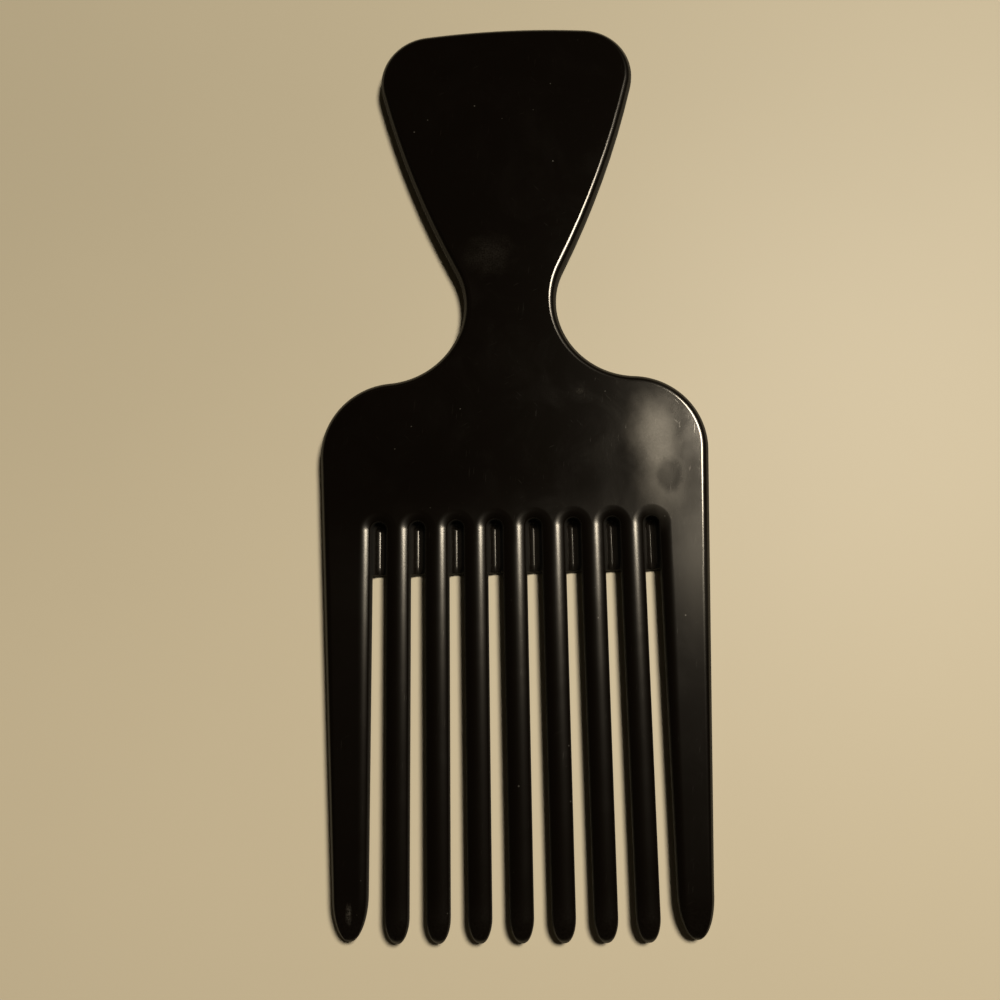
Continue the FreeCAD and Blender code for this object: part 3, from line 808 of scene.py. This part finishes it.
def web_mesh(sizes):
    """One web on the middle line: hollow floors that meet in a crease, a rounded end and a flat back."""
    floor = web_floor(sizes)
    floor.append((floor[-1][0] + sizes.web_sunk, floor[-1][1]))
    both = [(-x, z) for x, z in reversed(floor[1:])] + floor
    middle = len(floor) - 1
    edge, foot = floor[-1][0], floor[-1][0] + sizes.web_foot
    arch = ROOT_LEVEL + sizes.web_length - (PITCH - sizes.tooth_width) / 2
    end = ROOT_LEVEL + sizes.web_end_round
    points, faces = [], []

    def put(x, y, z):
        points.append((x, y, z))
        return len(points) - 1

    def quads(here, there):
        for place in range(len(here) - 1):
            ring = (here[place], here[place + 1], there[place + 1], there[place])
            faces.append(tuple(dict.fromkeys(ring)))

    levels = []
    for step in range(WEB_END_STEPS):
        lift = math.pi / 2 * step / WEB_END_STEPS
        levels.append((end - sizes.web_end_round * math.cos(lift), math.sin(lift)))
    levels += [(end + (arch - end) * step / LEG_STEPS, 1.0) for step in range(LEG_STEPS + 1)]
    rows = [[put(x, level, z * lift) for x, z in both] for level, lift in levels]
    turns = [math.pi * step / ARCH_STEPS for step in range(1, ARCH_STEPS)]
    rays = [rows[-1][middle:]]
    for turn in turns:
        rays.append([rows[-1][middle]] + [put(x * math.cos(turn), arch + x * math.sin(turn), z)
                                          for x, z in floor[1:]])
    rays.append(rows[-1][middle::-1])
    for strip in (rows, rays):
        for here, there in zip(strip, strip[1:]):
            quads(here, there)

    # The back spreads a little under the rounded edges of the gap.
    rim = [row[-1] for row in rows] + [ray[-1] for ray in rays[1:]] + [row[0] for row in rows[-2::-1]]
    grow = foot / edge
    back = [put(points[corner][X] * grow, arch + max(points[corner][Y] - arch, 0) * grow
                + min(points[corner][Y] - arch, 0), 0.0) for corner in rim]
    quads(rim, back)
    faces.append(back + rows[0])

    mesh = bpy.data.meshes.new("root_web")
    mesh.from_pydata(points, [], faces)
    edit = bmesh.new()
    edit.from_mesh(mesh)
    bmesh.ops.remove_doubles(edit, verts=edit.verts, dist=MERGE_DISTANCE)
    bmesh.ops.recalc_face_normals(edit, faces=edit.faces)
    if edit.calc_volume(signed=True) < 0:
        bmesh.ops.reverse_faces(edit, faces=edit.faces)
    edit.to_mesh(mesh)
    edit.free()
    return mesh


def row_tree():
    """Sets copies of a mesh side by side."""
    graph, given, result = new_tree(
        "Web row", "GeometryNodeTree",
        [("Geometry", GEOMETRY), ("Count", INTEGER), ("First", FLOAT), ("Pitch", FLOAT),
         ("Material", MATERIAL)],
        [("Geometry", GEOMETRY)])
    graph.row_of_copies(given, given["Geometry"], result["Geometry"])
    return graph.tree


# Stage

def stage_material(stage):
    """Pale floor paint, painted darker beyond the grip as painted shade, with a faint mottle."""
    material = bpy.data.materials.new("pale_floor")
    material.use_nodes = True
    graph = Graph(material.node_tree)
    shader = material.node_tree.nodes["Principled BSDF"]
    place = graph.add("ShaderNodeTexCoord").outputs["Object"]
    # Painted shade: the floor is painted darker from the tips towards the top of the grip and beyond it.
    painted_shade_fade = graph.ramp(graph.split(place)[Y], TIP_LEVEL, TOP_LEVEL, smooth=True)
    mottle = graph.ramp(graph.noise(place, 30.0, 4.0), 0.3, 0.7, -stage.floor_mottle, stage.floor_mottle)
    shade = graph.math("ADD", painted_shade_fade, mottle, clamp=True)
    graph.feed(shader.inputs["Base Color"],
               graph.mix_colour(shade, (*stage.floor, 1), (*stage.floor_painted_shade, 1)))
    shader.inputs["Roughness"].default_value = stage.floor_roughness
    return material


def light_world(stage):
    """A pale backdrop all round that grows dim overhead."""
    world = bpy.data.worlds.new("studio")
    world.use_nodes = True
    graph = Graph(world.node_tree)
    back = world.node_tree.nodes["Background"]
    height = graph.split(graph.add("ShaderNodeTexCoord").outputs["Generated"])[Z]
    dim = graph.ramp(height, *BACKDROP_HEIGHT, smooth=True)
    graph.feed(back.inputs["Color"], graph.mix_colour(dim, (*stage.backdrop, 1), (*stage.zenith, 1)))
    return world


# Operators

class PlateOperator(bpy.types.Operator):
    """Build the grip, neck and head as one rounded plate"""
    bl_idname = "pick.plate"
    bl_label = "Plate"

    def execute(self, context):
        finish_piece(context, "pick_plate", plate_mesh(context.scene.pick_sizes), PLATE_NODES)
        return {"FINISHED"}


class InnerTeethOperator(bpy.types.Operator):
    """Build the row of inner teeth"""
    bl_idname = "pick.inner_teeth"
    bl_label = "Inner teeth"

    def execute(self, context):
        sizes = context.scene.pick_sizes
        section = section_curve(sizes.tooth_width, gap_profile(sizes), gap_profile(sizes))
        mesh = tooth_meshes(context, section, {
            "Count": len(INNER_TEETH), "First": -(len(INNER_TEETH) // 2) * PITCH, "Tip Level": TIP_LEVEL,
            "Tip Length": sizes.tooth_tip, "Fullness": sizes.tooth_fullness, "End Shift": 0.0,
            "End Width": sizes.tooth_end_width / sizes.tooth_width})
        finish_piece(context, "inner_teeth", mesh, INNER_TEETH)
        return {"FINISHED"}


class GuardTeethOperator(bpy.types.Operator):
    """Build the two broad guard teeth at the sides"""
    bl_idname = "pick.guard_teeth"
    bl_label = "Guard teeth"

    def execute(self, context):
        sizes = context.scene.pick_sizes
        end_inside = GUARD_INSIDE + (sizes.tooth_width - sizes.tooth_end_width) / 2
        root_middle = GUARD_INSIDE + sizes.guard_width / 2
        end_middle = end_inside + sizes.guard_end_width / 2
        inside, outside = gap_profile(sizes), outline_profile(sizes)
        for name, side, profiles in (("guard_tooth_left", -1, (outside, inside)),
                                     ("guard_tooth_right", 1, (inside, outside))):
            mesh = tooth_meshes(context, section_curve(sizes.guard_width, *profiles), {
                "Count": 1, "First": side * root_middle, "Tip Level": GUARD_TIP_LEVEL,
                "Tip Length": sizes.guard_tip, "Fullness": sizes.guard_fullness,
                "End Shift": side * (end_middle - root_middle),
                "End Width": sizes.guard_end_width / sizes.guard_width})
            finish_piece(context, name + "_skin", mesh, [name])
        return {"FINISHED"}


class WebsOperator(bpy.types.Operator):
    """Build the webs between the teeth's roots"""
    bl_idname = "pick.webs"
    bl_label = "Root webs"

    def execute(self, context):
        values = {"Count": len(WEBS), "First": gap_middles()[0], "Pitch": PITCH, "Material": plastic(context)}
        mesh = run_tree(context, row_tree(), web_mesh(context.scene.pick_sizes), values)
        finish_piece(context, "root_webs", mesh, WEBS)
        return {"FINISHED"}


class StageOperator(bpy.types.Operator):
    """Lay the floor, hang the lamp and stand the camera where the photograph was taken from"""
    bl_idname = "pick.stage"
    bl_label = "Stage"

    def execute(self, context):
        scene, stage = context.scene, context.scene.pick_stage
        half, under = stage.floor_size / 2, -scene.pick_sizes.skin_inset
        mesh = bpy.data.meshes.new("floor")
        mesh.from_pydata([(-half, -half, under), (half, -half, under), (half, half, under),
                          (-half, half, under)], [], [(0, 1, 2, 3)])
        mesh.materials.append(stage_material(stage))
        floor = bpy.data.objects.new("floor", mesh)
        scene.collection.objects.link(floor)

        lamp = bpy.data.lights.new("key_lamp", "AREA")
        lamp.shape = "DISK"
        lamp.size = stage.lamp_size
        lamp.energy = stage.lamp_power
        lamp.color = stage.lamp_colour
        holder = bpy.data.objects.new("key_lamp", lamp)
        lean = math.sin(stage.lamp_tilt)
        aim = Vector((lean * math.cos(stage.lamp_turn), lean * math.sin(stage.lamp_turn),
                      math.cos(stage.lamp_tilt)))
        holder.location = aim * stage.lamp_distance
        holder.rotation_euler = aim.to_track_quat("Z", "Y").to_euler()
        scene.collection.objects.link(holder)

        eye = bpy.data.cameras.new("camera")
        eye.lens = stage.lens
        eye.clip_start = NEAREST_SIGHT
        camera = bpy.data.objects.new("camera", eye)
        camera.location = stage.camera_place
        camera.rotation_euler = stage.camera_turn
        scene.collection.objects.link(camera)
        scene.camera = camera
        scene.world = light_world(stage)
        scene.view_settings.view_transform = "Standard"
        return {"FINISHED"}


OPERATORS = (PlateOperator, InnerTeethOperator, GuardTeethOperator, WebsOperator, StageOperator)


class PickPanel(bpy.types.Panel):
    """Lists the steps and the values that they use"""
    bl_idname = "VIEW3D_PT_pick"
    bl_label = "Afro pick"
    bl_space_type = "VIEW_3D"
    bl_region_type = "UI"
    bl_category = "Pick"

    def draw(self, context):
        for step in OPERATORS:
            self.layout.operator(step.bl_idname)
        for group in (context.scene.pick_sizes, context.scene.pick_finish, context.scene.pick_stage):
            column = self.layout.column(align=True)
            for name in group.__annotations__:
                column.prop(group, name)


GROUPS = {"pick_sizes": PickSizes, "pick_finish": PickFinish, "pick_stage": PickStage}
CLASSES = tuple(GROUPS.values()) + OPERATORS + (PickPanel,)


def register():
    for item in CLASSES:
        bpy.utils.register_class(item)
    for name, group in GROUPS.items():
        setattr(bpy.types.Scene, name, bpy.props.PointerProperty(type=group))


def unregister():
    for name in GROUPS:
        delattr(bpy.types.Scene, name)
    for item in reversed(CLASSES):
        bpy.utils.unregister_class(item)


def main():
    register()
    bpy.ops.pick.plate()
    bpy.ops.pick.inner_teeth()
    bpy.ops.pick.guard_teeth()
    bpy.ops.pick.webs()
    bpy.ops.pick.stage()


if __name__ == "__main__":
    main()
